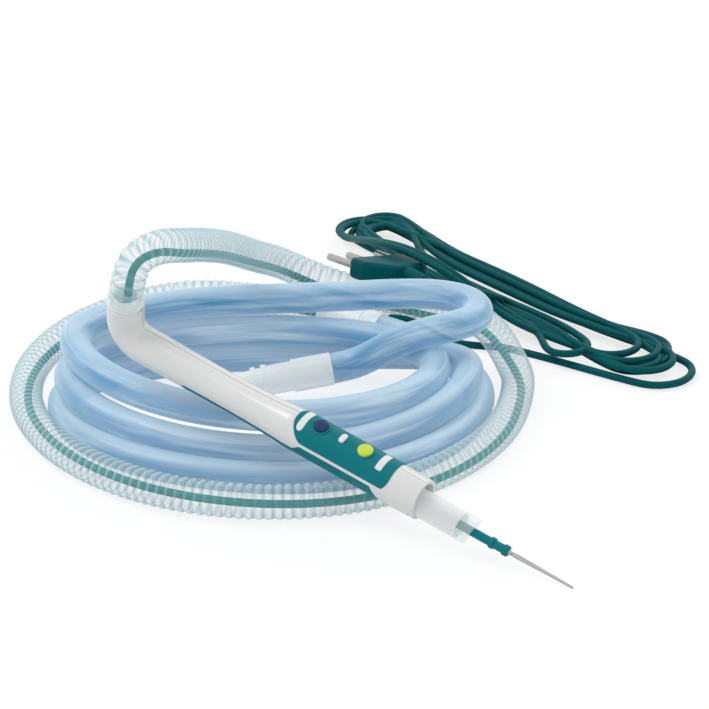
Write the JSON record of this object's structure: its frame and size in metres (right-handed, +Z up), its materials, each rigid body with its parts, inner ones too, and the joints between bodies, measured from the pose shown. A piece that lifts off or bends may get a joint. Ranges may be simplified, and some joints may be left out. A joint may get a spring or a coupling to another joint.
{
  "type": "electrosurgical pencil",
  "caption": "Hand-switched electrosurgical pencil with telescoping smoke nozzle, blade electrode, ribbed hose, coiled suction tubing with stepped adapter, and cable with plug.",
  "frame": {"origin": "on the floor under the middle of the hand piece's box, hose, tubing and cable left out", "axes": "+X along the hand piece towards the blade's tip as seen from above, +Z up, +Y to the hand piece's left, where the coil lies"},
  "size_m": [0.3587, 0.3614, 0.1196],
  "materials": {
    "white_shell": "smooth glossy white",
    "teal_plastic": "teal, satin",
    "navy_button": "navy, glossy",
    "lime_button": "lime, glossy",
    "white_trim": "white, glossy",
    "frosted_tube": "frosted clear",
    "clear_tip": "clear",
    "steel": "satin steel",
    "brass": "turned",
    "board_green": "coated board",
    "inner_white": "moulded",
    "wire": "insulated wire",
    "clear_hose": "clear, ribbed",
    "blue_tubing": "clear with a blue tint",
    "teal_cable": "teal, satin",
    "clear_cuff": "clear"
  },
  "bodies": {
    "pencil": {"upper_shell": "white_shell", "lower_cover": "teal_plastic", "button_panel": "teal_plastic", "finger_locator": "white_trim", "coag_plate": "white_trim", "cut_plate": "white_trim", "hose_cuff": "clear_cuff", "circuit_board": "board_green", "coag_dome": "steel", "cut_dome": "steel", "socket_holder": "inner_white", "electrode_socket": "brass", "conductor_leads": "wire", "cable_clamp": "inner_white", "corrugated_hose": "clear_hose", "inner_cable": "teal_cable", "hose_coupling": "clear_cuff", "cable_gland": "teal_cable", "tubing_lead": "blue_tubing", "tubing_coil": "blue_tubing", "tubing_tail": "blue_tubing", "adapter_cuff": "clear_cuff", "stepped_adapter": "inner_white", "cable_lead": "teal_cable", "cable_hank": "teal_cable", "cable_tail": "teal_cable", "plug_relief": "teal_cable", "plug_body": "teal_cable", "plug_pin_1": "steel", "plug_pin_2": "steel", "plug_pin_3": "steel"},
    "coag": {"coag_button": "navy_button"},
    "cut": {"cut_button": "lime_button"},
    "nozzle": {"nozzle_tube": "frosted_tube", "nozzle_tip": "clear_tip"},
    "electrode": {"electrode_hub": "teal_plastic", "electrode_blade": "steel"}
  },
  "joints": [
    {"name": "coag_press", "type": "slide", "parent": "pencil", "child": "coag", "axis": [-0.2304, 0.2588, -0.938], "range_m": [0, 0.0006], "stiffness_N_per_m": 2500},
    {"name": "cut_press", "type": "slide", "parent": "pencil", "child": "cut", "axis": [-0.2304, 0.2588, -0.938], "range_m": [0, 0.0006], "stiffness_N_per_m": 2500},
    {"name": "nozzle_slide", "type": "slide", "parent": "pencil", "child": "nozzle", "axis": [0.9711, 0, -0.2385], "range_m": [-0.01, 0]},
    {"name": "electrode_pull", "type": "slide", "parent": "pencil", "child": "electrode", "axis": [0.9711, 0, -0.2385], "range_m": [0, 0.02]}
  ]
}
